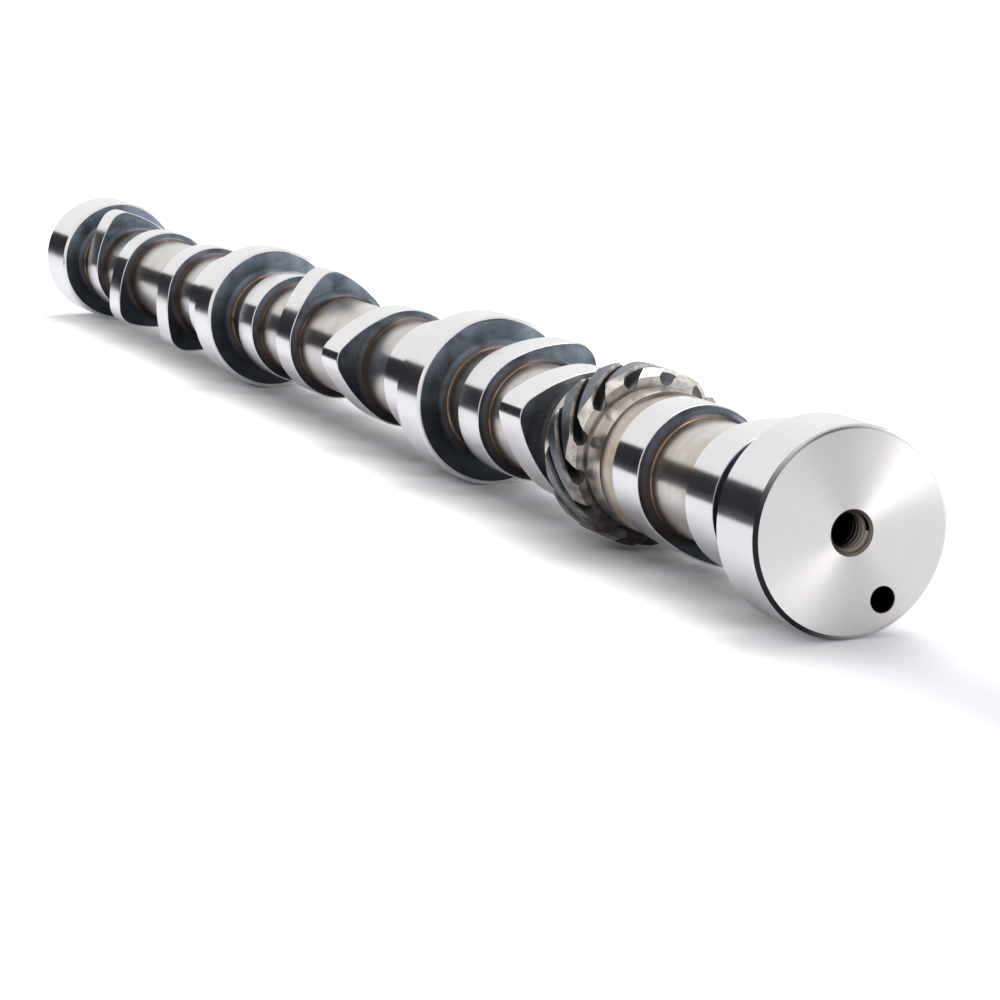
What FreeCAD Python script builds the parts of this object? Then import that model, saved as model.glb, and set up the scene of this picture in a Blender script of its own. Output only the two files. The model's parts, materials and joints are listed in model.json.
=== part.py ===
import FreeCAD, Part
import math
import os

# Camshaft of a straight-six engine with push rods: four bearing journals, twelve lobes
# and a skew gear that drives the ignition and the oil pump, all one piece of steel.
# Millimetres. The axis is +Y and the sprocket face is at Y = 0, so the shaft runs to +Y.
# Angles are in degrees, clockwise from +Z as seen from the sprocket end.

# Bearing journals, from the sprocket end to the rear
JOURNAL_D = 51.6
JOURNAL_STEP = 0.25
FRONT_JOURNAL_W = 19.9
MID_JOURNAL_W = 18.2
REAR_JOURNAL_W = 29.6
JOURNAL_CHAMFER = 0.7
JOURNAL_CHAMFER_RISE = 1.15

# Places along the axis. The rear bearings sit a little behind the middle between two cylinders.
CYLINDER_1_MID = 64.2
CYLINDER_PITCH = 109.6
PAIR_PITCH = 216.7
VALVE_PITCH = 43.4
JOURNAL_SHIFT = 1.75

# Lobes. The nose stays inside the journals, so the lobes pass through the bearings.
BASE_CIRCLE_D = 38.4
LIFT = 6.1
NOSE_R = 6.8
HALF_ACTION = 63.0
LOBE_W = 15.3

# Timing
REAR_LOBE_OF_CYLINDER_1 = 160.0
LOBE_SEPARATION = 108.6
FIRING_ORDER = (1, 5, 3, 6, 2, 4)

# Neck between the lobes and journals, relieved under the base circle for the grinding wheel
NECK_RELIEF = 3.2
JOURNAL_TAPER = 2.8
LOBE_TAPER = 2.2
HUB_TAPER = 3.0

# Skew gear, midway between cylinders 1 and 2, and the hub that carries it
GEAR_TEETH = 13
GEAR_D = 48.6
GEAR_DEPTH = 4.5
GEAR_W = 17.8
GEAR_HELIX = 50.0
GEAR_TURN = 299.4
GEAR_GAP_R = 2.0
GEAR_FLANK = 16.0
GEAR_BEVEL = 2.1
HUB_UNDER_ROOT = 0.3
HUB_W = 36.6
GROOVE_DEPTH = 0.8
GROOVE_W = 1.6

# Sprocket fixing: a tapped hole on the axis and a dowel hole beside it
TAP_DRILL_D = 8.8
TAP_MOUTH_D = 11.4
TAP_DEPTH = 32.0
DOWEL_HOLE_D = 6.4
DOWEL_HOLE_DEPTH = 12.0
DOWEL_WALL = 3.8
DOWEL_TURN = 152.8
DRILL_POINT = 118.0
DEBURR = 0.15

# How far a cutting shape reaches past the stock
OVERCUT = 1.0

AXIS = FreeCAD.Vector(0, 1, 0)
ORIGIN = FreeCAD.Vector(0, 0, 0)
CYLINDERS = len(FIRING_ORDER)
PAIRS = CYLINDERS // 2
NECK = BASE_CIRCLE_D / 2 - NECK_RELIEF
GEAR_MID = CYLINDER_1_MID + CYLINDER_PITCH / 2
GEAR_ROOT = GEAR_D / 2 - GEAR_DEPTH
HUB = GEAR_ROOT - HUB_UNDER_ROOT
DOWEL_OFFSET = JOURNAL_D / 2 - DOWEL_WALL - DOWEL_HOLE_D / 2


def clock(radius, turn, y):
    """Point at a radius and a turn round the axis."""
    a = math.radians(turn)
    return FreeCAD.Vector(radius * math.sin(a), y, radius * math.cos(a))


def turned(points):
    """Solid of revolution of a closed outline of (radius, y) points."""
    corners = [FreeCAD.Vector(r, y, 0) for r, y in points]
    outline = Part.makePolygon(corners + [corners[0]])
    return Part.Face(outline).revolve(ORIGIN, AXIS, 360)


def cylinder_mid(number):
    """Place along the axis of the middle of a cylinder's two lobes."""
    pair, second = divmod(number - 1, 2)
    return CYLINDER_1_MID + pair * PAIR_PITCH + second * CYLINDER_PITCH


def journal_span(index):
    """Near and far face of a journal, counted from 0 at the sprocket end."""
    if index == 0:
        return 0.0, FRONT_JOURNAL_W
    between = (cylinder_mid(2 * index) + cylinder_mid(2 * index + 1)) / 2
    near = between + JOURNAL_SHIFT - MID_JOURNAL_W / 2
    width = REAR_JOURNAL_W if index == PAIRS else MID_JOURNAL_W
    return near, near + width


def journal_face(index):
    """Radius of a journal's flat face, inside its chamfer."""
    return (JOURNAL_D - index * JOURNAL_STEP) / 2 - JOURNAL_CHAMFER_RISE


def journal(index):
    """Each journal is a little smaller than the one in front, so the shaft slides in."""
    near, far = journal_span(index)
    face = journal_face(index)
    radius = face + JOURNAL_CHAMFER_RISE
    return turned([
        (0, near),
        (face, near),
        (radius, near + JOURNAL_CHAMFER),
        (radius, far - JOURNAL_CHAMFER),
        (face, far),
        (0, far),
    ])


def lobe_places():
    """Middle and nose turn of every lobe, in order along the shaft."""
    places = []
    for number in range(1, CYLINDERS + 1):
        fires = 360.0 / CYLINDERS * FIRING_ORDER.index(number)
        rear_turn = REAR_LOBE_OF_CYLINDER_1 + fires
        middle = cylinder_mid(number)
        places.append((middle - VALVE_PITCH / 2, rear_turn - LOBE_SEPARATION))
        places.append((middle + VALVE_PITCH / 2, rear_turn))
    return places


def lobe(middle, nose_turn):
    """Base circle, two flanks and a nose, all tangent arcs."""
    near = middle - LOBE_W / 2
    base = BASE_CIRCLE_D / 2
    nose_out = base + LIFT - NOSE_R
    action = math.radians(HALF_ACTION)
    across = nose_out * math.cos(action)
    flank = base ** 2 + nose_out ** 2 - NOSE_R ** 2 - 2 * base * across
    flank /= 2 * (base - NOSE_R - across)
    back = flank - base
    meet = math.atan2(back * math.sin(action), nose_out + back * math.cos(action))

    def at(out, side):
        radius = math.hypot(out, side)
        return clock(radius, nose_turn + math.degrees(math.atan2(side, out)), near)

    def on_base(a):
        return at(base * math.cos(a), base * math.sin(a))

    def on_nose(a):
        return at(nose_out + NOSE_R * math.cos(a), NOSE_R * math.sin(a))

    def on_flank(side):
        a = (action + meet) / 2
        out = flank * math.cos(a) - back * math.cos(action)
        return at(out, side * (flank * math.sin(a) - back * math.sin(action)))

    arcs = [
        Part.Arc(on_base(action), on_base(math.pi), on_base(-action)),
        Part.Arc(on_base(-action), on_flank(-1), on_nose(-meet)),
        Part.Arc(on_nose(-meet), on_nose(0), on_nose(meet)),
        Part.Arc(on_nose(meet), on_flank(1), on_base(action)),
    ]
    outline = Part.Wire([arc.toShape() for arc in arcs])
    return Part.Face(outline).extrude(AXIS * LOBE_W)


def gap_cutter(helix, turn, y):
    """Round-bottomed gap between two teeth, drawn across the axis and swept along."""
    top_out = GEAR_D / 2 + OVERCUT
    lean = math.radians(GEAR_FLANK)
    foot_side = GEAR_GAP_R * math.cos(lean)
    foot_out = GEAR_ROOT + GEAR_GAP_R - GEAR_GAP_R * math.sin(lean)
    top_side = foot_side + (top_out - foot_out) * math.tan(lean)

    def at(out, side):
        return clock(math.hypot(out, side), turn + math.degrees(math.atan2(side, out)), y)

    left = at(top_out, -top_side)
    left_foot = at(foot_out, -foot_side)
    right_foot = at(foot_out, foot_side)
    right = at(top_out, top_side)
    outline = Part.Wire([
        Part.LineSegment(left, left_foot).toShape(),
        Part.Arc(left_foot, at(GEAR_ROOT, 0), right_foot).toShape(),
        Part.LineSegment(right_foot, right).toShape(),
        Part.LineSegment(right, left).toShape(),
    ])
    return helix.makePipeShell([outline], True, True)


def skew_gear():
    """Bevelled blank with one gap swept along a helix and repeated round the axis."""
    near = GEAR_MID - GEAR_W / 2
    far = GEAR_MID + GEAR_W / 2
    tip = GEAR_D / 2
    blank = turned([
        (0, near),
        (tip - GEAR_BEVEL, near),
        (tip, near + GEAR_BEVEL),
        (tip, far - GEAR_BEVEL),
        (tip - GEAR_BEVEL, far),
        (0, far),
    ])
    lead = math.pi * GEAR_D / math.tan(math.radians(GEAR_HELIX))
    start = near - OVERCUT
    step = 360.0 / GEAR_TEETH
    first = GEAR_TURN + step / 2 + 360.0 * (start - GEAR_MID) / lead
    helix = Part.makeHelix(lead, GEAR_W + 2 * OVERCUT, GEAR_ROOT)
    helix.rotate(ORIGIN, FreeCAD.Vector(1, 0, 0), -90)
    helix.rotate(ORIGIN, AXIS, first - 90)
    helix.translate(AXIS * start)
    cutter = gap_cutter(Part.Wire(helix.Edges), first, start)
    gaps = []
    for number in range(GEAR_TEETH):
        gap = cutter.copy()
        gap.rotate(ORIGIN, AXIS, number * step)
        gaps.append(gap)
    return blank.cut(gaps)


def hub():
    """Plain hub under the gear, with a groove at each end of the teeth."""
    near = GEAR_MID - HUB_W / 2
    far = GEAR_MID + HUB_W / 2
    teeth_near = GEAR_MID - GEAR_W / 2
    teeth_far = GEAR_MID + GEAR_W / 2
    inner = HUB - GROOVE_DEPTH
    return turned([
        (0, near),
        (HUB, near),
        (HUB, teeth_near - GROOVE_W),
        (inner, teeth_near - GROOVE_W),
        (inner, teeth_far + GROOVE_W),
        (HUB, teeth_far + GROOVE_W),
        (HUB, far),
        (0, far),
    ])


def tapers(face, side, size, wall):
    """Cone where the neck meets a flat face that reaches out to the radius of its wall.

    There is none where the face stands no higher than the neck.
    """
    size = min(size, wall - NECK)
    if size <= 0:
        return []
    return [turned([
        (0, face - side * OVERCUT),
        (NECK + size, face - side * OVERCUT),
        (NECK + size, face),
        (NECK, face + side * size),
        (0, face + side * size),
    ])]


def shaft_with_lobes():
    """Neck, hub, journals and lobes, blended at every step, as one solid."""
    near = JOURNAL_CHAMFER
    far = journal_span(PAIRS)[1] - JOURNAL_CHAMFER
    pieces = [hub()]
    for side in (-1, 1):
        pieces += tapers(GEAR_MID + side * HUB_W / 2, side, HUB_TAPER, HUB)
    for index in range(PAIRS + 1):
        pieces.append(journal(index))
        if index > 0:
            pieces += tapers(journal_span(index)[0], -1, JOURNAL_TAPER, journal_face(index))
        if index < PAIRS:
            pieces += tapers(journal_span(index)[1], 1, JOURNAL_TAPER, journal_face(index))
    for middle, turn in lobe_places():
        pieces.append(lobe(middle, turn))
        for side in (-1, 1):
            pieces += tapers(middle + side * LOBE_W / 2, side, LOBE_TAPER, BASE_CIRCLE_D / 2)
    body = turned([(0, near), (NECK, near), (NECK, far), (0, far)])
    return body.multiFuse(pieces).removeSplitter()


def blind_hole(diameter, depth, mouth):
    """Drilled hole from the sprocket face, with a countersunk mouth at 45 degrees."""
    r = diameter / 2
    outer = mouth / 2
    point = r / math.tan(math.radians(DRILL_POINT / 2))
    return turned([
        (0, -OVERCUT),
        (outer + OVERCUT, -OVERCUT),
        (r, outer - r),
        (r, depth),
        (0, depth + point),
    ])


os.makedirs("parts", exist_ok=True)
tapped = blind_hole(TAP_DRILL_D, TAP_DEPTH, TAP_MOUTH_D)
dowel = blind_hole(DOWEL_HOLE_D, DOWEL_HOLE_DEPTH, DOWEL_HOLE_D + 2 * DEBURR)
dowel.translate(clock(DOWEL_OFFSET, DOWEL_TURN, 0))
camshaft = shaft_with_lobes().fuse(skew_gear()).cut([tapped, dowel])
solid = camshaft.Solids[0]
solid.exportStep("parts/camshaft.step")
print("solids", len(camshaft.Solids), "valid", solid.isValid())
print("length", round(solid.BoundBox.YLength, 2), "volume", round(solid.Volume))
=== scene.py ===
# %% [markdown]
# # Camshaft of a straight-six engine
#
# The real shaft is one piece of steel. A blank is turned on a lathe, the skew gear is hobbed
# into it, the lobes and journals are ground, and the side faces keep the dark skin that heat
# treatment left. This lesson rebuilds it the same way: rings are drawn out along the axis for
# everything that is turned, arcs are spun for the lobes, one gap is drawn and copied for the
# gear, and all of it is joined at the necks into one closed skin.
#
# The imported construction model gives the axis, the journals and the dowel hole. The tapped hole,
# the lobes and the gear repeat its sizes, with the small rounds, edges and thread that it leaves
# out.

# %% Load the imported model
import json
import math

import bmesh
import bpy
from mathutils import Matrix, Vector


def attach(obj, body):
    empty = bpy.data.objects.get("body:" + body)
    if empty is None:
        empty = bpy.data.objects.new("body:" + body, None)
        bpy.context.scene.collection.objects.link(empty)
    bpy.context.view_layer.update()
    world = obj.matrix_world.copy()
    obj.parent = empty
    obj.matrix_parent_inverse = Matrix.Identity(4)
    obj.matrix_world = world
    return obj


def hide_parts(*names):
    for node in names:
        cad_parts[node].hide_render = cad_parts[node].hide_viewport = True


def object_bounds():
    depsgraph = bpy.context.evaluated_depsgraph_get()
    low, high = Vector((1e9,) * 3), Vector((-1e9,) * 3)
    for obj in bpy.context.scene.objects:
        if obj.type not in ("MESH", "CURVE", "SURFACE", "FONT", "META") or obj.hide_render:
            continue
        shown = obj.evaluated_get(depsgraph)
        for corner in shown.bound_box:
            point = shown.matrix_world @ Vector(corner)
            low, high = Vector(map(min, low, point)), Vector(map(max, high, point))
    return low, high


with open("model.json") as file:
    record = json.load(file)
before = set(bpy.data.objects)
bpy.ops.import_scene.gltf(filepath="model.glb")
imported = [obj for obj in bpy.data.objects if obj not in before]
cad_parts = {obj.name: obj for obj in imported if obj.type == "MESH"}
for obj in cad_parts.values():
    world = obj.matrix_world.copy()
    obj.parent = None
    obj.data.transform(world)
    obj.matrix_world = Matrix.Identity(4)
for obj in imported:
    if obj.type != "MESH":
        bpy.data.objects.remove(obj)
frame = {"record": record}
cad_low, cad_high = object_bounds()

MM = 0.001  # metres in a millimetre
print("construction model", [round(x, 4) for x in (*cad_low, *cad_high)])

# %% [markdown]
# ## Camera, floor and light
#
# The camera was fitted to the rings of the journals and lobes, so it stands where the
# photographer stood: low, a little to the left of the sprocket end, with a long lens.

# %% Camera
shot = bpy.data.cameras.new("camera")
shot.lens = 105.857
shot.sensor_width = 36.0
shot.clip_start = 0.01
camera = bpy.data.objects.new("camera", shot)
camera.location = (-0.33182, -0.59291, 0.13469)
camera.rotation_euler = (math.radians(79.348), 0, math.radians(-22.2713))
bpy.context.scene.collection.objects.link(camera)
bpy.context.scene.camera = camera
bpy.context.scene.view_settings.view_transform = "Standard"
print("camera", [round(x, 3) for x in camera.location])

# %% [markdown]
# Two helpers come first. Colours are written as on a screen and turned to linear light. A node
# is always added with its inputs and its settings in one call, so that each material below
# reads from top to bottom.

# %% A colour and a node


def colour(hexcode):
    """Linear colour of an sRGB hex value."""
    channels = [int(hexcode[i:i + 2], 16) / 255 for i in (1, 3, 5)]
    linear = [c / 12.92 if c <= 0.04045 else ((c + 0.055) / 1.055) ** 2.4 for c in channels]
    return (*linear, 1.0)


def add(owner, kind, inputs=None, **settings):
    """Adds a node with its settings. An input is a value, or an output to link it to."""
    node = owner.node_tree.nodes.new(kind)
    for key, value in settings.items():
        setattr(node, key, value)
    for socket, given in (inputs or {}).items():
        if isinstance(given, bpy.types.NodeSocket):
            owner.node_tree.links.new(given, node.inputs[socket])
        else:
            node.inputs[socket].default_value = given
    return node


# %% [markdown]
# The room is white, as in a light tent. What the camera and the reflections see of it is full
# white, and the light that it throws is lower, so that steel keeps its colour.

# %% White room
ROOM_LIGHT = 0.35


def seen(owner, shown, otherwise):
    """One value for the camera and for reflections, and another for the light thrown."""
    path = add(owner, "ShaderNodeLightPath").outputs
    eyes = add(
        owner, "ShaderNodeMath", {0: path["Is Camera Ray"], 1: path["Is Glossy Ray"]},
        operation="MAXIMUM",
    ).outputs[0]
    eyes = add(
        owner, "ShaderNodeMath", {0: eyes, 1: path["Is Transmission Ray"]}, operation="MAXIMUM"
    ).outputs[0]
    return add(
        owner, "ShaderNodeMapRange", {"Value": eyes, "To Min": otherwise, "To Max": shown}
    ).outputs["Result"]


room = bpy.data.worlds.new("white_room")
room.use_nodes = True
bpy.context.scene.world = room
sky = room.node_tree.nodes["Background"]
sky.inputs["Color"].default_value = (1, 1, 1, 1)
room.node_tree.links.new(seen(room, 1.0, ROOM_LIGHT), sky.inputs["Strength"])
print("room light", ROOM_LIGHT)

# %% [markdown]
# The floor is white paper. It keeps the soft shadow, and a glow that only the camera and the
# reflections see takes the rest of it to plain white. There is no glow under the shaft, where
# the shadow is darkest, and it grows with the distance from the shaft's axis.

# %% Paper floor
FLOOR_Z = cad_low[2]  # the shaft lies on its journals
FLOOR_SIZE = 30.0
MIDWAY = 0.3  # place along the axis of the floor's middle, where the upper lamp points too
GLOW_FAR = 0.72  # strength of the glow well away from the shaft
GLOW_RANGE = (0.007, 0.043)  # metres beside the axis between which it grows
GLOW_ALONG = 0.03  # a metre along the shaft counts as this much beside it
MIRROR_SHARE = 0.28  # how much of the glow the steel mirrors


def lay_flat(name, size, location, rotation, material):
    """A flat stage piece that isn't part of the object."""
    bpy.ops.object.select_all(action="DESELECT")
    bpy.ops.mesh.primitive_grid_add(
        x_subdivisions=4, y_subdivisions=4, size=1, location=location,
        rotation=[math.radians(a) for a in rotation],
    )
    piece = bpy.context.active_object
    piece.name = name
    piece.scale = (*size, 1)
    piece.data.materials.append(material)
    return piece


def matt_stage(name, hexcode):
    """A matt material for paper and card, with its surface node."""
    material = bpy.data.materials.new(name)
    material.use_nodes = True
    surface = material.node_tree.nodes["Principled BSDF"]
    surface.inputs["Base Color"].default_value = colour(hexcode)
    surface.inputs["Roughness"].default_value = 0.9
    surface.inputs["Specular IOR Level"].default_value = 0.0
    return material, surface


paper, sheet = matt_stage("white_paper", "#F5F5FA")
spot = add(paper, "ShaderNodeTexCoord").outputs["Object"]
far_off = add(
    paper, "ShaderNodeVectorMath", {0: spot, 1: (FLOOR_SIZE, FLOOR_SIZE * GLOW_ALONG, 0)},
    operation="MULTIPLY",
).outputs["Vector"]
distance = add(paper, "ShaderNodeVectorMath", {0: far_off}, operation="LENGTH").outputs["Value"]
glow = add(paper, "ShaderNodeMapRange", {
    "Value": distance, "From Min": GLOW_RANGE[0], "From Max": GLOW_RANGE[1],
    "To Max": GLOW_FAR,
}).outputs["Result"]
mirrored = add(paper, "ShaderNodeLightPath").outputs["Is Glossy Ray"]
share = add(
    paper, "ShaderNodeMapRange", {"Value": mirrored, "To Min": 1.0, "To Max": MIRROR_SHARE}
).outputs["Result"]
glow = add(paper, "ShaderNodeMath", {0: glow, 1: share}, operation="MULTIPLY").outputs[0]
shown = add(paper, "ShaderNodeMath", {0: glow, 1: seen(paper, 1.0, 0.0)}, operation="MULTIPLY")
sheet.inputs["Emission Color"].default_value = (1, 1, 1, 1)
paper.node_tree.links.new(shown.outputs[0], sheet.inputs["Emission Strength"])
lay_flat("floor", (FLOOR_SIZE, FLOOR_SIZE), (0, MIDWAY, FLOOR_Z), (0, 0, 0), paper)
print("floor at", round(FLOOR_Z, 4))

# %% [markdown]
# Polished steel shows what stands round it, so a photographer puts up black cards. One long
# card stands behind the shaft on the left, another lies on the paper in front of it, and
# together they draw the dark band along every barrel. A third stands in front, a little to the
# right, and darkens parts of the end face. The camera doesn't see the cards, and they take no
# light away.

# %% Black cards
BLACK, _ = matt_stage("black_card", "#403F46")


def black_card(name, size, location, rotation):
    """A card that only reflections see."""
    card = lay_flat(name, size, location, rotation, BLACK)
    card.visible_camera = False
    card.visible_diffuse = False
    card.visible_shadow = False


black_card("card_back_left", (4.4, 1.9), (-1.25, 2.75, -0.31), (90, 28.5, 24.5))
black_card("card_on_floor", (1.1, 3.2), (-0.7, 1.9, FLOOR_Z + MM), (0, 0, 0))
black_card("card_front", (0.45, 0.6), (0.47, -1.1, 0.33), (90, 0, 23))
print("cards up")

# %% [markdown]
# One large soft lamp hangs above the shaft, to the right and behind, so that the shadow falls
# towards the lower left. A small one stands low on the right, in front, and throws the two fans
# on the end face.

# %% Soft lamps


def soft_lamp(name, size, watts, location, target):
    """A wide lamp that is aimed at a place."""
    lamp = bpy.data.lights.new(name, "AREA")
    lamp.shape = "RECTANGLE"
    lamp.size, lamp.size_y = size
    lamp.energy = watts
    box = bpy.data.objects.new(name, lamp)
    box.location = location
    aim = Vector(target) - box.location
    box.rotation_euler = aim.to_track_quat("-Z", "Y").to_euler()
    bpy.context.scene.collection.objects.link(box)
    print(name, watts, "W")


soft_lamp("lamp_above", (1.2, 1.2), 15.0, (0.45, 0.55, 1.2), (0, MIDWAY, 0))
soft_lamp("lamp_front_right", (0.3, 0.4), 2.8, (0.95, -0.55, 0.2), (0, 0, 0))

# %% [markdown]
# ## Sizes
#
# The record's mounts give each journal's middle, radius and length, and the dowel hole.
# Everything along the shaft is then placed in millimetres from the sprocket face, as on a
# drawing. Every ring has as many points as the outline of the gear, so that rings bridge point
# to point. For each tooth that is 3 steps on each flank, and those of the floor and the crest.

# %% Sizes
GEAR_TEETH = 13
FLOOR_STEPS, CREST_STEPS = 8, 4
ROUND = GEAR_TEETH * (3 + FLOOR_STEPS + 3 + CREST_STEPS)
BASE_R = 19.2 * MM
NECK_R = BASE_R - 3.2 * MM  # leaves room for the grinding wheel beside a lobe
THREAD_R = 5.0 * MM
TINY = 0.01 * MM  # how closely a place has to match

mounts = {m["name"]: m for m in frame["record"]["mounts"]}
JOURNALS = ["front_journal", "second_journal", "third_journal", "rear_journal"]
CHAMFER = 0.7 * MM
CHAMFER_RISE = 1.15 * MM


def journal_span(name):
    """Near face, far face and radius of a journal. The mount gives its ground wall."""
    mount = mounts[name]
    half = mount["dims"]["length_mm"] * MM / 2 + CHAMFER
    middle = mount["pos_m"][1]
    return middle - half, middle + half, mount["dims"]["r_mm"] * MM


for name in JOURNALS:
    print(name, [round(x / MM, 3) for x in journal_span(name)])

# %% [markdown]
# ## Finishes
#
# All of it is the same steel, but each surface was made by another tool, and that is what the
# eye reads. Lathe and wheel leave lines round the axis. The pattern is noise that changes fast
# along the shaft, or outwards on an end face, and hardly at all round it. Real lines are a few
# hundredths of a millimetre apart, too fine for the render, so they are drawn coarser than
# real: 0.9 mm apart on barrels and necks, and 0.6 mm on an end face. The direction round the
# axis is the cross product of the place and the axis, and it tells the shader which way a
# reflection smears.

# %% Patterns that the tools left
BARREL_LINES = 0.9 * MM
FACE_LINES = 0.6 * MM
ROUND_CHANGE = 1 / (50 * MM)  # round the shaft the lines change over 50 mm


def around_axis(material):
    """Direction round the shaft's axis at every point."""
    place = add(material, "ShaderNodeTexCoord").outputs["Object"]
    cross = add(
        material, "ShaderNodeVectorMath", {0: place, 1: (0, 1, 0)}, operation="CROSS_PRODUCT"
    ).outputs["Vector"]
    return add(material, "ShaderNodeVectorMath", {0: cross}, operation="NORMALIZE").outputs[0]


def new_steel(name, smear=0.0):
    """A bare metal surface that smears reflections across the lines round the axis."""
    material = bpy.data.materials.new(name)
    material.use_nodes = True
    surface = material.node_tree.nodes["Principled BSDF"]
    surface.inputs["Metallic"].default_value = 1.0
    surface.inputs["Anisotropic"].default_value = smear
    surface.inputs["Anisotropic Rotation"].default_value = 0.25
    material.node_tree.links.new(around_axis(material), surface.inputs["Tangent"])
    return material, surface


def round_place(material):
    """Place across the axis, distance from the axis and place along it."""
    place = add(material, "ShaderNodeTexCoord").outputs["Object"]
    flat = add(
        material, "ShaderNodeVectorMath", {0: place, 1: (1, 0, 1)}, operation="MULTIPLY"
    ).outputs["Vector"]
    radius = add(material, "ShaderNodeVectorMath", {0: flat}, operation="LENGTH").outputs["Value"]
    along = add(material, "ShaderNodeSeparateXYZ", {0: place}).outputs["Y"]
    return flat, radius, along


def tool_lines(material, spacing, on_face=False):
    """Noise that changes along the axis, or outwards from it on an end face."""
    flat, radius, along = round_place(material)
    fast = add(
        material, "ShaderNodeMath", {0: radius if on_face else along, 1: spacing},
        operation="DIVIDE",
    ).outputs[0]
    line = add(material, "ShaderNodeCombineXYZ", {1: fast}).outputs[0]
    slow = add(
        material, "ShaderNodeVectorMath", {0: flat, 1: (ROUND_CHANGE,) * 3, 2: line},
        operation="MULTIPLY_ADD",
    ).outputs["Vector"]
    return add(
        material, "ShaderNodeTexNoise",
        {"Vector": slow, "Scale": 1.0, "Detail": 3.0, "Roughness": 0.6},
    ).outputs["Fac"]


def smudges(material, size, detail=4.0):
    """Slow cloudy pattern, for handling marks and uneven skin."""
    place = add(material, "ShaderNodeTexCoord").outputs["Object"]
    return add(
        material, "ShaderNodeTexNoise",
        {"Vector": place, "Scale": 1.0 / size, "Detail": detail, "Roughness": 0.55},
    ).outputs["Fac"]


def patches_and_painted_top_light(material, low, high, size):
    """Random patches over painted light that grows upwards: painted shade below, paler above."""
    place = add(material, "ShaderNodeTexCoord").outputs["Object"]
    up = add(material, "ShaderNodeSeparateXYZ", {0: place}).outputs["Z"]
    # Painted light: the colour grows paler with height and darker downwards.
    painted_top_light = add(
        material, "ShaderNodeMapRange",
        {"Value": up, "From Min": low, "From Max": high, "To Min": 0.08},
    ).outputs["Result"]
    patchy = add(
        material, "ShaderNodeMapRange",
        {"Value": smudges(material, size, 6.0), "From Min": 0.35, "From Max": 0.6,
         "To Min": 0.4},
    ).outputs["Result"]
    return add(material, "ShaderNodeMath", {0: painted_top_light, 1: patchy}, operation="MULTIPLY").outputs[0]


def dress(material, surface, pattern, shades, cloud, rough, height):
    """Gives a steel surface a range of colour, a range of roughness and a relief."""
    tree = material.node_tree
    tint = add(
        material, "ShaderNodeMix",
        {"Factor": pattern, "A": colour(shades[0]), "B": colour(shades[1])}, data_type="RGBA",
    )
    dull = add(
        material, "ShaderNodeMapRange", {"Value": cloud, "To Min": rough[0], "To Max": rough[1]}
    )
    relief = add(
        material, "ShaderNodeBump", {"Height": pattern, "Strength": 1.0, "Distance": height}
    )
    tree.links.new(tint.outputs["Result"], surface.inputs["Base Color"])
    tree.links.new(dull.outputs["Result"], surface.inputs["Roughness"])
    tree.links.new(relief.outputs["Normal"], surface.inputs["Normal"])
    return tint.outputs["Result"]


# %% [markdown]
# Ground bearing steel: hardened steel finished by a grinding wheel, on the journals and the lobe
# tracks. It mirrors the room. The wheel's lines run round the shaft, so the mirror is sharp
# round it and smeared along it.

# %% Ground bearing steel
material, surface = new_steel("ground_bearing_steel", smear=0.5)
dress(
    material, surface, tool_lines(material, BARREL_LINES), ("#DEDCDE", "#EBE9EA"),
    smudges(material, 18 * MM), (0.12, 0.21), 0.0001 * MM,
)
FINISHES = {"ground": material}
print(material.name)

# %% [markdown]
# Turned end steel: the end faces were turned on a lathe. The tool's spiral throws the light in
# two bright fans, as on a disc.

# %% Turned end steel
material, surface = new_steel("turned_end_steel", smear=0.9)
dress(
    material, surface, tool_lines(material, FACE_LINES, on_face=True), ("#E0DDDB", "#E6E3E1"),
    smudges(material, 12 * MM), (0.34, 0.42), 0.0001 * MM,
)
FINISHES["turned"] = material
print(material.name)

# %% [markdown]
# Blue-black oxide steel: the side faces of journals and lobes aren't ground. They keep the thin
# oxide of the heat treatment, dark and half glossy, with painted light that makes them paler
# towards the top. In the hollow rounds beside the necks it is a burnt brown.

# %% Blue-black oxide steel
material, surface = new_steel("blue_black_oxide_steel", smear=0.4)
# The oxide's own dark colour, with painted light that makes it paler towards the top.
oxide_and_painted_top_light = dress(
    material, surface, patches_and_painted_top_light(material, -2 * MM, 26 * MM, 7 * MM), ("#292D34", "#98A5B4"),
    smudges(material, 9 * MM), (0.26, 0.4), 0.003 * MM,
)
burnt = add(material, "ShaderNodeMapRange", {
    "Value": round_place(material)[1], "From Min": NECK_R, "From Max": NECK_R + 3 * MM,
    "To Min": 1.0, "To Max": 0.0,
}).outputs["Result"]
tint = add(
    material, "ShaderNodeMix", {"Factor": burnt, "A": oxide_and_painted_top_light, "B": colour("#3A2C24")},
    data_type="RGBA",
).outputs["Result"]
material.node_tree.links.new(tint, surface.inputs["Base Color"])
FINISHES["skin"] = material
print(material.name)

# %% [markdown]
# Satin turned steel: the necks were turned and left. Beside the ground faces the wheel's heat
# ran into them and left the colours of tempering: straw, then brown, then dark brown. An
# attribute named tempering on the mesh says how near a ground face each point lies. With the
# name heat it had no effect in the render.

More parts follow.
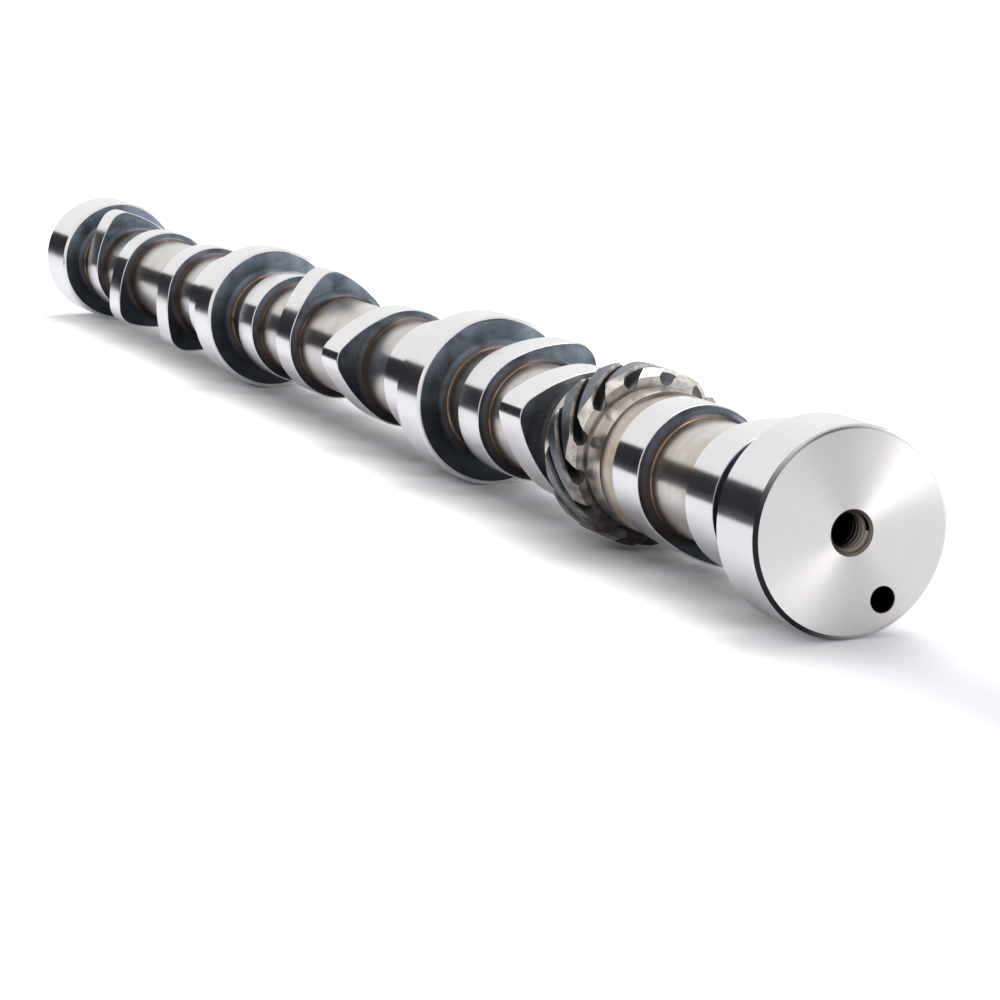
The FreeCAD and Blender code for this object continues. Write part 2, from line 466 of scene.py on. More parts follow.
# %% Satin turned steel
material, surface = new_steel("satin_turned_steel", smear=0.4)
cloud = smudges(material, 10 * MM, 5.0)
bare = dress(
    material, surface, tool_lines(material, BARREL_LINES), ("#C2BDBA", "#D8D4D1"),
    cloud, (0.18, 0.28), 0.0006 * MM,
)
heat = add(material, "ShaderNodeAttribute", attribute_name="tempering").outputs["Fac"]
uneven = add(
    material, "ShaderNodeMapRange", {"Value": cloud, "To Min": -0.3, "To Max": 0.3}
).outputs["Result"]
warmth = add(material, "ShaderNodeMath", {0: heat, 1: uneven}, operation="ADD").outputs[0]
temper = add(material, "ShaderNodeValToRGB", {"Fac": warmth})
stops = temper.color_ramp.elements
stops[0].position, stops[0].color = 0.0, colour("#FFFFFF")
stops[1].position, stops[1].color = 0.9, colour("#3A2A22")
for position, hexcode in ((0.2, "#EDE3D6"), (0.4, "#C4A68C"), (0.62, "#75594A")):
    stops.new(position).color = colour(hexcode)
warmed = add(
    material, "ShaderNodeMix", {"Factor": 1.0, "A": bare, "B": temper.outputs["Color"]},
    data_type="RGBA", blend_type="MULTIPLY",
).outputs["Result"]
material.node_tree.links.new(warmed, surface.inputs["Base Color"])
FINISHES["neck"] = material
print(material.name)

# %% [markdown]
# Rubbed gear steel: the crests of the teeth are slate grey, where running against another gear
# rubbed the oxide thin.

# %% Rubbed gear steel
material, surface = new_steel("rubbed_gear_steel")
dress(
    material, surface, smudges(material, 2 * MM, 6.0), ("#343940", "#7E868F"),
    smudges(material, 6 * MM), (0.28, 0.42), 0.006 * MM,
)
FINISHES["crest"] = material
print(material.name)

# %% [markdown]
# Hobbed gear steel: the hob left the gaps matt, and their near-black colour is painted shade
# between the teeth.

# %% Hobbed gear steel
# Painted shade: the gaps between the teeth are coloured nearly black.
material, surface = new_steel("hobbed_gear_steel")
dress(
    material, surface, smudges(material, 3 * MM, 6.0), ("#1B1B1E", "#4C4A4B"),
    smudges(material, 6 * MM), (0.3, 0.45), 0.008 * MM,
)
FINISHES["gap"] = material
print(material.name)

# %% [markdown]
# Turned rim steel: the chamfer round the sprocket face. It is pale, with painted shade at the
# lower left and a painted highlight towards the right.

# %% Turned rim steel
PAINTED_LIGHT_SIDE = (0.93, 0.0, 0.37)  # direction in which the rim grows bright

material, surface = new_steel("turned_rim_steel", smear=0.3)
place = add(material, "ShaderNodeTexCoord").outputs["Object"]
height = add(
    material, "ShaderNodeVectorMath", {0: place, 1: PAINTED_LIGHT_SIDE}, operation="DOT_PRODUCT"
).outputs["Value"]
# Painted light: the rim darkens towards the lower left and is pale elsewhere.
bright = add(
    material, "ShaderNodeMapRange",
    {"Value": height, "From Min": -21 * MM, "From Max": -2 * MM}, interpolation_type="SMOOTHSTEP",
).outputs["Result"]
dress(
    material, surface, bright, ("#2C2C32", "#D6D5D6"), smudges(material, 9 * MM), (0.2, 0.3),
    0.0,
)
FINISHES["rim"] = material
print(material.name)

# %% [markdown]
# Turned bevel steel: the bevels at the ends of the teeth were turned before the hob came. They
# are pale, the upper edges of the flanks take the same pale steel as a painted highlight, and
# painted shade darkens all of it to brown downwards, over random patches.

# %% Turned bevel steel
material, surface = new_steel("turned_bevel_steel", smear=0.3)
dress(
    material, surface, patches_and_painted_top_light(material, -20 * MM, 14 * MM, 4 * MM), ("#241E1B", "#E6DFD8"),
    smudges(material, 6 * MM), (0.24, 0.36), 0.004 * MM,
)
FINISHES["bevel"] = material
print(material.name)

# %% [markdown]
# Drilled steel with painted shade: drilled and tapped. The mouth is brown-grey, painted shade
# darkens the thread's roots so the crests stay bright, and a few millimetres in it is almost
# black.

# %% Drilled steel with painted shade
material, surface = new_steel("oiled_drilled_steel")
_, radius, depth = round_place(material)
# Painted shade: darker in the roots of the thread and deeper in the hole.
root = add(
    material, "ShaderNodeMapRange",
    {"Value": radius, "From Min": THREAD_R - 0.6 * MM, "From Max": THREAD_R, "To Max": 0.55},
).outputs["Result"]
painted_hole_shade = add(
    material, "ShaderNodeMath", {0: depth, 1: 1 / (9 * MM), 2: root}, operation="MULTIPLY_ADD"
).outputs[0]
dress(
    material, surface, painted_hole_shade, ("#A1958B", "#120E0C"), smudges(material, 3 * MM), (0.25, 0.45),
    0.0,
)
FINISHES["hole"] = material
FINISH_NUMBER = {name: number for number, name in enumerate(FINISHES)}
print(material.name)

# %% [markdown]
# ## Working in edit mode
#
# Each stretch of the shaft is drawn: a ring is added, drawn out and scaled, and its corners are
# rounded. An operator acts on all that is selected, so every step first picks its edges or faces
# by their place. With no window, a turn runs the other way round, so the helpers for turning
# take the sign in hand.

# %% Starting a piece


def away(point):
    """Distance of a point from the shaft's axis."""
    return math.hypot(point.x, point.z)


def leave_edit_mode():
    active = bpy.context.view_layer.objects.active
    if active and active.mode == "EDIT":
        bpy.ops.object.mode_set(mode="OBJECT")


def choose(piece):
    """Makes a piece the only selected one."""
    leave_edit_mode()
    bpy.ops.object.select_all(action="DESELECT")
    bpy.context.view_layer.objects.active = piece
    piece.select_set(True)


def enter_edit_mode(piece):
    choose(piece)
    bpy.ops.object.mode_set(mode="EDIT")
    bpy.ops.mesh.select_mode(type="VERT")


def add_ring(radius, y, points=ROUND):
    """Adds one open ring round the axis, and leaves it selected."""
    bpy.ops.mesh.primitive_circle_add(
        vertices=points, radius=radius, location=(0, y, 0), rotation=(math.radians(90), 0, 0)
    )


def new_piece(name, radius, y, points=ROUND):
    """New object that holds one ring, in edit mode."""
    leave_edit_mode()
    bpy.ops.object.select_all(action="DESELECT")
    add_ring(radius, y, points)
    piece = bpy.context.active_object
    piece.name = name
    piece.data.name = name
    for material in FINISHES.values():
        piece.data.materials.append(material)
    bpy.ops.object.transform_apply(location=True, rotation=True, scale=True)
    enter_edit_mode(piece)
    bpy.ops.mesh.select_all(action="SELECT")
    return piece


def new_point(name, x, y, z):
    """New object that holds one point: a small ring merged to its centre and moved."""
    piece = new_piece(name, MM, 0, points=3)
    bpy.ops.mesh.merge(type="CENTER")
    bpy.ops.transform.translate(value=(x, y, z))
    return piece


# %% Drawing, turning and picking


def draw_out(stations):
    """Draws the selected ring through (radius, y) stations, like a tool along a lathe."""
    for (radius, y), (next_radius, next_y) in zip(stations, stations[1:]):
        scale = next_radius / radius
        bpy.ops.mesh.extrude_region_move(TRANSFORM_OT_translate={"value": (0, next_y - y, 0)})
        bpy.ops.transform.resize(value=(scale, 1, scale), center_override=(0, next_y, 0))


def turned(name, stations, points=ROUND):
    """Surface of revolution through (radius, y) stations, left in edit mode."""
    piece = new_piece(name, *stations[0], points)
    draw_out(stations)
    return piece


def spin(degrees, steps, centre=(0, 0, 0), copies=False):
    """Spins what is selected clockwise, seen from the sprocket end."""
    bpy.ops.mesh.spin(
        steps=steps, angle=-math.radians(degrees), center=centre, axis=(0, 1, 0), dupli=copies
    )


def turn(degrees):
    """Turns what is selected clockwise, seen from the sprocket end."""
    bpy.ops.transform.rotate(
        value=-math.radians(degrees), orient_axis="Y", orient_type="GLOBAL",
        center_override=(0, 0, 0),
    )


def pick(piece, kind, wanted):
    """Selects the points, edges or faces all of whose corners pass a test."""
    bpy.ops.mesh.select_mode(type=kind)
    bpy.ops.mesh.select_all(action="DESELECT")
    mesh = bmesh.from_edit_mesh(piece.data)
    passing = {vert for vert in mesh.verts if wanted(vert.co)}
    if kind == "VERT":
        found = passing
    else:
        items = mesh.edges if kind == "EDGE" else mesh.faces
        found = [item for item in items if all(vert in passing for vert in item.verts)]
    for item in found:
        item.select_set(True)
    bmesh.update_edit_mesh(piece.data)
    return len(found)


def on_ring(y, low, high):
    """Test for the points that lie at y, between two radii."""
    return lambda p: abs(p.y - y) < TINY and low < away(p) < high


APART = 0.5 * MM  # how far a ring stands off while it is bridged


def add_side(piece, y, side, stations):
    """Draws a ring out from a flat side, and bridges the side between outline and ring.

    The ring stands a little off the side while it is bridged, because two rings in one plane
    can be joined crosswise, and is then moved back.
    """
    (radius, _), *further = stations
    bpy.ops.mesh.select_all(action="DESELECT")
    add_ring(radius, y + side * APART)
    draw_out([(radius, y + side * APART)] + further)
    pick(piece, "EDGE", lambda p: min(abs(p.y - y), abs(p.y - y - side * APART)) < TINY)
    bpy.ops.mesh.bridge_edge_loops()
    pick(piece, "VERT", lambda p: abs(p.y - y - side * APART) < TINY)
    bpy.ops.transform.translate(value=(0, -side * APART, 0))


def face_outwards():
    bpy.ops.mesh.select_mode(type="VERT")
    bpy.ops.mesh.select_all(action="SELECT")
    bpy.ops.mesh.normals_make_consistent(inside=False)


def round_edges(piece, test, size, segments):
    """Rounds the edges whose ends pass a test. Faces that point inwards would round wrongly."""
    face_outwards()
    pick(piece, "EDGE", test)
    bpy.ops.mesh.bevel(
        offset_type="OFFSET", offset=size, segments=segments, profile=0.5, affect="EDGES",
        clamp_overlap=False, loop_slide=True,
    )


# How far a face leans, as the part of its normal along the axis: 0 on a barrel, 1 on a flat side
BARREL = 0.1
TILTED = 0.4
STEEP = 0.5
NEARLY_FLAT = 0.97
FLAT = 0.99


def finish_faces(piece, name, wanted):
    """Gives a finish to the faces whose middle and normal pass a test."""
    bpy.ops.mesh.select_mode(type="FACE")
    bpy.ops.mesh.select_all(action="DESELECT")
    mesh = bmesh.from_edit_mesh(piece.data)
    for face in mesh.faces:
        if wanted(face.calc_center_median(), face.normal):
            face.select_set(True)
    bmesh.update_edit_mesh(piece.data)
    piece.active_material_index = FINISH_NUMBER[name]
    bpy.ops.object.material_slot_assign()


def done(piece):
    """Turns every face outwards, leaves edit mode and says what was made."""
    face_outwards()
    leave_edit_mode()
    print(piece.name, len(piece.data.polygons), "faces")
    return piece


# %% [markdown]
# ## Journals
#
# A journal is a plain turned and ground drum with a chamfer at both edges. Its side faces fall
# to the neck in a hollow round, which keeps the shaft from cracking there. The rear one ends in
# a plain turned face.

# %% Middle and rear journals
JOURNAL_ROUND = 3.2 * MM
ROUND_STEPS = 5
SPARE = 0.4 * MM  # plain neck left beyond a hollow round
AXIS_R = 0.02 * MM  # smallest ring, merged to a point where a face closes


def finish_drum(piece, name):
    """Neck finish everywhere, then the side faces and the ground drum."""
    radius = journal_span(name)[2]
    finish_faces(piece, "neck", lambda p, n: True)
    finish_faces(piece, "skin", lambda p, n: abs(n.y) > STEEP and away(p) > NECK_R + 0.5 * MM)
    finish_faces(piece, "ground", lambda p, n: away(p) > radius - CHAMFER_RISE)


def drum_stations(name):
    """Outline of a journal from the neck in front of it to the neck behind."""
    near, far, radius = journal_span(name)
    return [
        (NECK_R, near - JOURNAL_ROUND - SPARE),
        (NECK_R, near),
        (radius - CHAMFER_RISE, near),
        (radius, near + CHAMFER),
        (radius, far - CHAMFER),
        (radius - CHAMFER_RISE, far),
        (NECK_R, far),
        (NECK_R, far + JOURNAL_ROUND + SPARE),
    ]


def middle_journal(name):
    piece = turned(name, drum_stations(name))
    for face in journal_span(name)[:2]:
        round_edges(piece, on_ring(face, 0, NECK_R + TINY), JOURNAL_ROUND, ROUND_STEPS)
    face_outwards()
    finish_drum(piece, name)
    return done(piece)


def rear_journal(name):
    near, far, _ = journal_span(name)
    piece = turned(name, drum_stations(name)[:6] + [(AXIS_R, far)])
    bpy.ops.mesh.merge(type="CENTER")
    round_edges(piece, on_ring(near, 0, NECK_R + TINY), JOURNAL_ROUND, ROUND_STEPS)
    face_outwards()
    finish_drum(piece, name)
    finish_faces(piece, "turned", lambda p, n: p.y > far - TINY)
    return done(piece)


segments = [middle_journal("second_journal"), middle_journal("third_journal")]
segments.append(rear_journal("rear_journal"))

# %% [markdown]
# ## Sprocket end
#
# The first journal ends in the sprocket face. A tapped hole takes the bolt, and the dowel hole
# beside it times the sprocket. The outline runs from the bottom of the tapped hole out to the
# face and over the drum. The dowel hole is then drilled by subtracting a drill. For that the
# neck is closed for a moment, beyond the bottom of the tapped hole.

# %% Sprocket end
MOUTH_R = 5.7 * MM
TAP_DEPTH = 32.0 * MM
DRILL_POINT = 118.0  # degrees across the tip of a drill
POINT_SLOPE = math.tan(math.radians(90 - DRILL_POINT / 2))
FAR_CAP = 40.0 * MM  # where the neck is closed for a moment


def sprocket_end():
    near, far, radius = journal_span("front_journal")
    piece = turned("front_journal", [
        (AXIS_R, TAP_DEPTH + THREAD_R * POINT_SLOPE),
        (THREAD_R, TAP_DEPTH),
        (THREAD_R, MOUTH_R - THREAD_R),
        (MOUTH_R, near),
        (radius - CHAMFER_RISE, near),
        (radius, near + CHAMFER),
        (radius, far - CHAMFER),
        (radius - CHAMFER_RISE, far),
        (NECK_R, far),
        (NECK_R, FAR_CAP),
    ])
    bpy.ops.mesh.edge_face_add()
    pick(piece, "VERT", lambda p: away(p) < 2 * AXIS_R)
    bpy.ops.mesh.merge(type="CENTER")
    round_edges(piece, on_ring(far, NECK_R - TINY, NECK_R + TINY), JOURNAL_ROUND, ROUND_STEPS)
    face_outwards()
    finish_drum(piece, "front_journal")
    finish_faces(piece, "rim", lambda p, n: p.y < CHAMFER and away(p) > radius - CHAMFER_RISE)
    finish_faces(piece, "turned", lambda p, n: abs(p.y - near) < TINY)
    finish_faces(piece, "hole", lambda p, n: away(p) < MOUTH_R and TINY < p.y < FAR_CAP - MM)
    return done(piece)


front = sprocket_end()

# %% Dowel hole
dowel = mounts["dowel_hole"]
DOWEL_R = dowel["dims"]["r_mm"] * MM
DOWEL_DEPTH = 12 * MM
DEBURR = 0.15 * MM
ABOVE = 1.0 * MM  # how far in front of the face the drill begins


def dowel_drill():
    """Closed shape of the drill that stands in the hole, with its small countersink."""
    piece = turned("dowel_drill", [
        (DOWEL_R + DEBURR + ABOVE, -ABOVE),
        (DOWEL_R, DEBURR),
        (DOWEL_R, DOWEL_DEPTH),
        (AXIS_R, DOWEL_DEPTH + DOWEL_R * POINT_SLOPE),
    ], points=96)
    bpy.ops.mesh.merge(type="CENTER")
    pick(piece, "EDGE", lambda p: p.y < -ABOVE / 2)
    bpy.ops.mesh.edge_face_add()
    finish_faces(piece, "hole", lambda p, n: True)
    piece = done(piece)
    piece.location = (dowel["pos_m"][0], 0, dowel["pos_m"][2])
    return piece


def drill_out(piece, drill):
    """Cuts the drill out of the piece and throws it away."""
    choose(piece)
    cut = piece.modifiers.new("drilled", "BOOLEAN")
    cut.operation = "DIFFERENCE"
    cut.solver = "EXACT"
    cut.object = drill
    bpy.ops.object.modifier_apply(modifier=cut.name)
    bpy.data.objects.remove(drill)


drill_out(front, dowel_drill())
enter_edit_mode(front)
pick(front, "FACE", lambda p: abs(p.y - FAR_CAP) < TINY)
bpy.ops.mesh.delete(type="ONLY_FACE")
pick(front, "VERT", lambda p: abs(p.y - FAR_CAP) < TINY)
short = journal_span("front_journal")[1] + JOURNAL_ROUND + SPARE
bpy.ops.transform.translate(value=(0, short - FAR_CAP, 0))
segments.append(done(front))

# %% [markdown]
# ## Lobes
#
# A lobe is a base circle, a nose and two flanks, all arcs that meet without a corner. Each arc
# is spun from the last point of the one before. The track is drawn from that outline, the neck
# is added at both sides, and the side faces are bridged. The wheel left a small chamfer at both
# edges of the track. One lobe is made, and twelve copies are turned to the firing order.

# %% Lobe outline
LIFT = 6.1 * MM
NOSE_R = 6.8 * MM
HALF_ACTION = 63.0  # degrees from the nose to the base circle
LOBE_W = 15.3 * MM
LOBE_ROUND = 2.5 * MM
LOBE_ROUND_STEPS = 4
LOBE_CHAMFER = 0.4 * MM
LOBE_CHAMFER_STEPS = 2
FLANK_STEPS, NOSE_STEPS = 31, 20
BASE_STEPS = ROUND - 2 * FLANK_STEPS - NOSE_STEPS

action = math.radians(HALF_ACTION)
nose_out = BASE_R + LIFT - NOSE_R
flank = BASE_R ** 2 + nose_out ** 2 - NOSE_R ** 2 - 2 * BASE_R * nose_out * math.cos(action)
flank /= 2 * (BASE_R - NOSE_R - nose_out * math.cos(action))
back = flank - BASE_R
meet = math.atan2(back * math.sin(action), nose_out + back * math.cos(action))
print("flank radius", round(flank / MM, 2), "mm, nose spans", round(2 * math.degrees(meet), 1))


def lobe_outline(name, y):
    """Closed outline with its nose at the top, spun from one point on the base circle."""
    piece = new_point(name, BASE_R * math.sin(action), y, BASE_R * math.cos(action))
    flank_turn = math.degrees(action - meet)
    low = -back * math.cos(action)
    aside = back * math.sin(action)
    spin(360 - 2 * HALF_ACTION, BASE_STEPS)
    spin(flank_turn, FLANK_STEPS, (aside, y, low))
    spin(2 * math.degrees(meet), NOSE_STEPS, (0, y, nose_out))
    spin(flank_turn, FLANK_STEPS, (-aside, y, low))
    bpy.ops.mesh.select_all(action="SELECT")
    bpy.ops.mesh.remove_doubles(threshold=TINY / 2)
    return piece


# %% One lobe, and a copy for each valve


def one_lobe():
    half = LOBE_W / 2
    piece = lobe_outline("lobe", -half)
    bpy.ops.mesh.extrude_region_move(TRANSFORM_OT_translate={"value": (0, LOBE_W, 0)})
    for side in (-1, 1):
        neck_end = side * (half + LOBE_ROUND + SPARE)
        add_side(piece, side * half, side, [(NECK_R, side * half), (NECK_R, neck_end)])
    for side in (-1, 1):
        foot = on_ring(side * half, 0, NECK_R + TINY)
        edge = on_ring(side * half, BASE_R - TINY, BASE_R + LIFT + TINY)
        round_edges(piece, foot, LOBE_ROUND, LOBE_ROUND_STEPS)
        round_edges(piece, edge, LOBE_CHAMFER, LOBE_CHAMFER_STEPS)
    face_outwards()
    reach = NECK_R + LOBE_ROUND + TINY
    finish_faces(piece, "neck", lambda p, n: True)
    finish_faces(piece, "skin", lambda p, n: abs(n.y) > TILTED and away(p) > NECK_R + 0.3 * MM)
    finish_faces(piece, "ground", lambda p, n: away(p) > reach and abs(n.y) < NEARLY_FLAT)
    return done(piece)


CYLINDER_1_MID = 64.2 * MM
CYLINDER_PITCH = 109.6 * MM
PAIR_PITCH = 216.7 * MM
VALVE_PITCH = 43.4 * MM
FIRING_ORDER = (1, 5, 3, 6, 2, 4)
CYLINDERS = len(FIRING_ORDER)
REAR_LOBE_OF_CYLINDER_1 = 160.0  # degrees from straight up
LOBE_SEPARATION = 108.6  # degrees between the two noses of a cylinder


def lobe_places():
    """Middle and nose turn of every lobe, in order along the shaft."""
    places = []
    for cylinder in range(1, CYLINDERS + 1):
        pair, second = divmod(cylinder - 1, 2)
        middle = CYLINDER_1_MID + pair * PAIR_PITCH + second * CYLINDER_PITCH
        rear = REAR_LOBE_OF_CYLINDER_1 + 360.0 / CYLINDERS * FIRING_ORDER.index(cylinder)
        places.append((middle - VALVE_PITCH / 2, rear - LOBE_SEPARATION))
        places.append((middle + VALVE_PITCH / 2, rear))
    return places


def copy_of(piece, name):
    """A copy with its own mesh."""
    copy = piece.copy()
    copy.data = piece.data.copy()
    copy.name = name
    bpy.context.scene.collection.objects.link(copy)
    return copy


pattern_lobe = one_lobe()
for number, (middle, nose_turn) in enumerate(lobe_places(), 1):
    lobe = copy_of(pattern_lobe, f"lobe_{number}")
    lobe.location = (0, middle, 0)
    lobe.rotation_euler = (0, math.radians(nose_turn), 0)
    segments.append(lobe)
    print(lobe.name, "at", round(middle / MM, 1), "mm, nose at", round(nose_turn % 360, 1))
bpy.data.objects.remove(pattern_lobe)

# %% [markdown]
# ## Skew gear
#
# The gear drives the oil pump and the distributor. One gap and the crest beside it are drawn
# across the axis: down a flank, round the floor, up the other flank and along the crest. Copies
# of it close the ring. The ring is then drawn along the axis and turned a little at each step,
# which gives the helix, and at both ends the crests are pulled in to the bevel.

# %% Outline of one gap
GEAR_MID = CYLINDER_1_MID + CYLINDER_PITCH / 2
GEAR_W = 17.8 * MM
GEAR_TIP = 24.3 * MM
GEAR_ROOT = GEAR_TIP - 4.5 * MM
GEAR_BEVEL = 2.1 * MM
GAP_R = 2.0 * MM
GAP_LEAN = math.radians(16)
GEAR_TURN = 299.4  # degrees to the crest of one tooth, at the middle of the gear
TOOTH = 360.0 / GEAR_TEETH
HELIX = math.radians(50)
LEAD = math.pi * 2 * GEAR_TIP / math.tan(HELIX)
LEVELS = [GEAR_TIP, GEAR_TIP - GEAR_BEVEL / 2, GEAR_TIP - GEAR_BEVEL]

foot_side = GAP_R * math.cos(GAP_LEAN)
foot_out = GEAR_ROOT + GAP_R - GAP_R * math.sin(GAP_LEAN)


def on_flank(radius):
    """Point (side, out) of the right flank at a radius."""
    slope = math.tan(GAP_LEAN)
    start = foot_side - foot_out * slope
    a, b, c = 1 + slope ** 2, 2 * start * slope, start ** 2 - radius ** 2
    out = (-b + math.sqrt(b * b - 4 * a * c)) / (2 * a)
    return start + out * slope, out


def draw_line(points):
    """Draws the selected point through (side, out) places."""
    for (side, out), (next_side, next_out) in zip(points, points[1:]):
        step = (next_side - side, 0, next_out - out)
        bpy.ops.mesh.extrude_vertices_move(TRANSFORM_OT_translate={"value": step})


def gear_outline(name, y):
    rise = [(foot_side, foot_out)] + [on_flank(radius) for radius in reversed(LEVELS)]
    fall = [(-side, out) for side, out in reversed(rise)]
    side, out = fall[0]
    piece = new_point(name, side, y, out)
    draw_line(fall)
    floor_turn = 180 - 2 * math.degrees(GAP_LEAN)
    spin(-floor_turn, FLOOR_STEPS, (0, y, GEAR_ROOT + GAP_R))
    draw_line(rise)
    half_gap = math.degrees(math.atan2(*rise[-1]))
    spin(TOOTH - 2 * half_gap, CREST_STEPS)
    bpy.ops.mesh.select_all(action="SELECT")
    spin(TOOTH * (GEAR_TEETH - 1), GEAR_TEETH - 1, copies=True)
    bpy.ops.mesh.select_all(action="SELECT")
    bpy.ops.mesh.remove_doubles(threshold=TINY / 2)
    return piece


# %% Teeth, grooves and hub
HUB_W = 36.6 * MM
HUB_R = GEAR_ROOT - 0.3 * MM
GROOVE_R = HUB_R - 0.8 * MM
GROOVE_W = 1.6 * MM
HUB_ROUND = 3.2 * MM
ROWS = 12  # rows of faces along a tooth, between the two of each bevel


def draw_teeth():
    """Draws the selected outline along the axis, turned a little at each step."""
    degrees_per_metre = 360.0 / LEAD
    turn(GEAR_TURN + TOOTH / 2 - degrees_per_metre * GEAR_W / 2)
    bevel_rows = [GEAR_BEVEL / 2] * 2
    rows = [(GEAR_W - 2 * GEAR_BEVEL) / ROWS] * ROWS
    for step in bevel_rows + rows + bevel_rows:
        bpy.ops.mesh.extrude_region_move(TRANSFORM_OT_translate={"value": (0, step, 0)})
        turn(degrees_per_metre * step)


def bevel_teeth(piece, end, inward):
    """Pulls the crests in to the bevel over the last two rows."""
    for row in (0, 1):
        y = end + inward * row * GEAR_BEVEL / 2
        for level in LEVELS[:2 - row]:
            pick(piece, "VERT", on_ring(y, level - TINY, level + TINY))
            scale = LEVELS[2 - row] / level
            bpy.ops.transform.resize(value=(scale, 1, scale), center_override=(0, y, 0))


def draw_hub(piece, end, side):
    """Groove beside the teeth, hub and neck."""
    hub_end = GEAR_MID + side * HUB_W / 2
    groove_end = end + side * GROOVE_W
    add_side(piece, end, side, [
        (GROOVE_R, end), (GROOVE_R, groove_end), (HUB_R, groove_end), (HUB_R, hub_end),
        (NECK_R, hub_end), (NECK_R, hub_end + side * (HUB_ROUND + SPARE)),
    ])
    round_edges(piece, on_ring(hub_end, 0, NECK_R + TINY), HUB_ROUND, ROUND_STEPS)


def gear_and_hub():
    near, far = GEAR_MID - GEAR_W / 2, GEAR_MID + GEAR_W / 2
    piece = gear_outline("gear", near)
    draw_teeth()
    bevel_teeth(piece, near, 1)
    bevel_teeth(piece, far, -1)
    draw_hub(piece, near, -1)
    draw_hub(piece, far, 1)
    face_outwards()
    finish_faces(piece, "neck", lambda p, n: True)
    finish_faces(piece, "gap", lambda p, n: near < p.y < far)
    finish_faces(piece, "crest", lambda p, n: near < p.y < far and away(p) > GEAR_TIP - 0.1 * MM)

    def on_bevel(p, n):
        outwards = (n.x * p.x + n.z * p.z) / away(p)
        return abs(n.y) > STEEP and away(p) > LEVELS[2] and outwards > 0.5

    def on_end(p, n):
        return abs(n.y) > FLAT and near - TINY < p.y < far + TINY

    # Painted highlight: the upper flanks get the pale bevel steel.
    def on_flank_painted_highlight(p, n):
        return abs(n.y) > TILTED and away(p) > LEVELS[1] and near < p.y < far

    for test in (on_bevel, on_end, on_flank_painted_highlight):
        finish_faces(piece, "bevel", test)
    return done(piece)


segments.append(gear_and_hub())

# %% [markdown]
# ## One closed skin
#
# The segments are joined, and each neck is bridged between its two open rings, with a few extra
# rings for the tempering colours.

# %% Join the segments
SHORT_NECK = 2 * MM
NECK_CUTS = 3

neck_ends = []
for piece in segments:
    choose(piece)
    bpy.ops.object.transform_apply(location=True, rotation=True, scale=True)
    ends = [v.co.y for v in piece.data.vertices if abs(away(v.co) - NECK_R) < TINY]
    neck_ends.append((min(ends), max(ends)))
neck_ends.sort()

choose(front)
for piece in segments:
    piece.select_set(True)
bpy.ops.object.join()
shaft = front
shaft.name = "camshaft_steel"
shaft.data.name = "camshaft_steel"

enter_edit_mode(shaft)
for (_, left), (right, _) in zip(neck_ends, neck_ends[1:]):
    edges = pick(shaft, "EDGE", lambda p: (
        min(abs(p.y - left), abs(p.y - right)) < TINY and abs(away(p) - NECK_R) < TINY
    ))
    bpy.ops.mesh.bridge_edge_loops(number_cuts=0 if right - left < SHORT_NECK else NECK_CUTS)
    print("neck", round(left / MM, 2), "to", round(right / MM, 2), "from", edges, "edges")
finish_faces(shaft, "neck", lambda p, n: abs(away(p) - NECK_R) < 0.1 * MM and abs(n.y) < BARREL)
done(shaft)

# %% [markdown]
# ## Thread
#
# The tapped hole has a 10 mm thread with a 1.5 mm pitch. One ridge is drawn as a small triangle
# that reaches a little into the wall, and is screwed along the axis. It stops a few millimetres
# short of the bottom, as a tap does.

# %% Screw the thread's ridge
PITCH = 1.5 * MM
RIDGE_IN = 4.35 * MM
RIDGE_OUT = THREAD_R + 0.06 * MM
RIDGE_HALF = 0.66 * MM
TURNS = 17
TURN_STEPS = 60


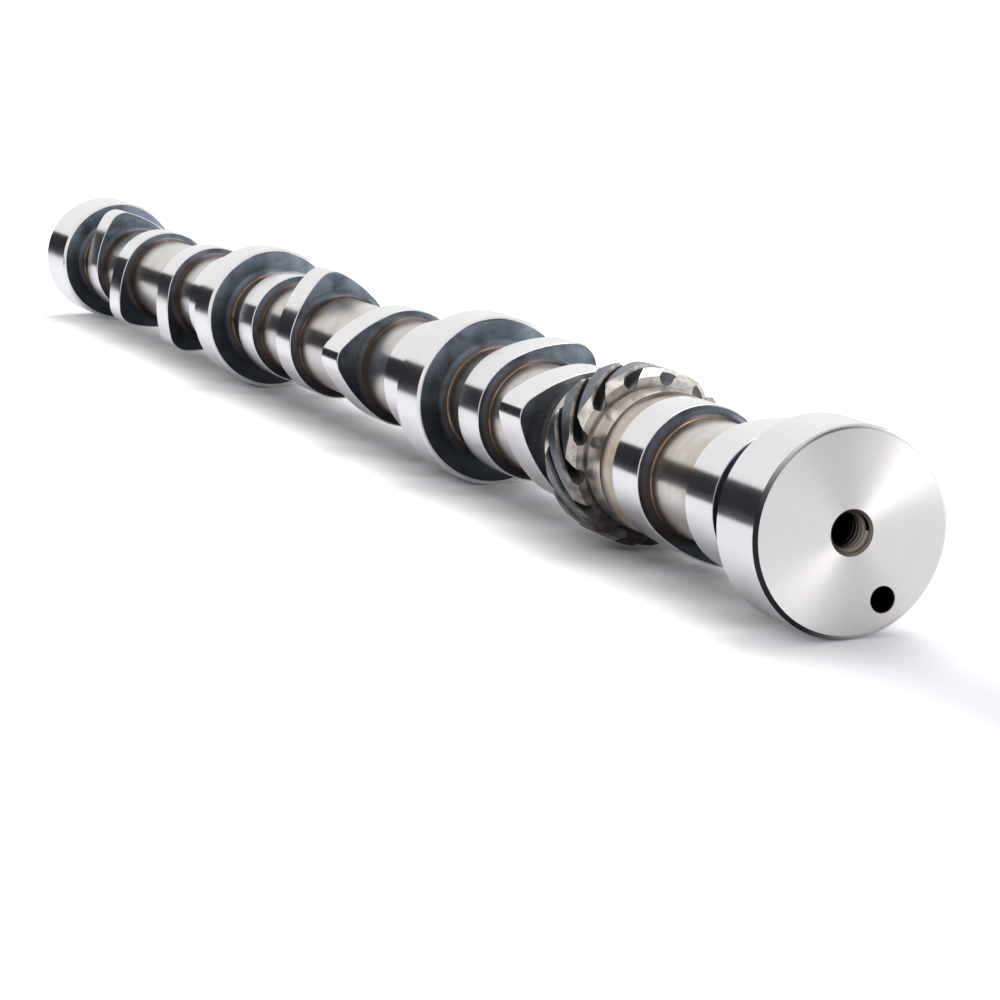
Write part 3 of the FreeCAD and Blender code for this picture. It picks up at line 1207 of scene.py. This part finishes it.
def thread_ridge():
    piece = new_point("thread", RIDGE_OUT, PITCH - RIDGE_HALF, 0)
    for step in ((RIDGE_IN - RIDGE_OUT, RIDGE_HALF, 0), (RIDGE_OUT - RIDGE_IN, RIDGE_HALF, 0)):
        bpy.ops.mesh.extrude_vertices_move(TRANSFORM_OT_translate={"value": step})
    bpy.ops.mesh.select_all(action="SELECT")
    bpy.ops.mesh.edge_face_add()
    leave_edit_mode()
    screw = piece.modifiers.new("screwed", "SCREW")
    screw.axis = "Y"
    screw.angle = math.radians(360)
    screw.screw_offset = PITCH
    screw.iterations = TURNS
    screw.steps = TURN_STEPS
    screw.render_steps = TURN_STEPS
    bpy.ops.object.modifier_apply(modifier=screw.name)
    enter_edit_mode(piece)
    bpy.ops.mesh.select_all(action="SELECT")
    bpy.ops.mesh.fill_holes(sides=3)
    finish_faces(piece, "hole", lambda p, n: True)
    return done(piece)


ridge = thread_ridge()
choose(shaft)
ridge.select_set(True)
bpy.ops.object.join()

# %% [markdown]
# ## Tempering colours
#
# The heat of grinding fades within a few millimetres of a ground face. The hub's ends show
# little of it. The value is stored on the mesh for the neck's material.

# %% Heat attribute
REACH = 12 * MM
HEAT = 0.55
HUB_HEAT = 0.12
FADE = 1.5  # above 1 the heat falls fast beside the face, and then slowly
faces = {}
for name in JOURNALS:
    near, far, _ = journal_span(name)
    faces[near] = faces[far] = HEAT
for middle, _ in lobe_places():
    faces[middle - LOBE_W / 2] = faces[middle + LOBE_W / 2] = HEAT
for side in (-1, 1):
    faces[GEAR_MID + side * HUB_W / 2] = HUB_HEAT

heat_values = shaft.data.attributes.new("tempering", "FLOAT", "POINT")
for vert, value in zip(shaft.data.vertices, heat_values.data):
    value.value = max(
        strength * max(0.0, 1 - abs(vert.co.y - y) / REACH) ** FADE
        for y, strength in faces.items()
    )
print("heat set on", len(shaft.data.vertices), "points")

# %% [markdown]
# ## Smooth shading
#
# Corners under 35 degrees shade smoothly. Weighted normals keep the large flat faces flat beside
# their small rounds.

# %% Smooth and weigh the normals
SMOOTH_BELOW = math.radians(35)

choose(shaft)
bpy.ops.object.shade_smooth_by_angle(angle=SMOOTH_BELOW)
weigh = shaft.modifiers.new("weighed", "WEIGHTED_NORMAL")
weigh.mode = "FACE_AREA"
weigh.keep_sharp = True
bpy.ops.object.modifier_apply(modifier=weigh.name)
triangles = sum(len(face.vertices) - 2 for face in shaft.data.polygons)
print(shaft.name, triangles, "triangles")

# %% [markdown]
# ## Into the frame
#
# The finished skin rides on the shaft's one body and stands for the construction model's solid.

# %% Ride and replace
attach(shaft, "root")
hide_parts("camshaft")
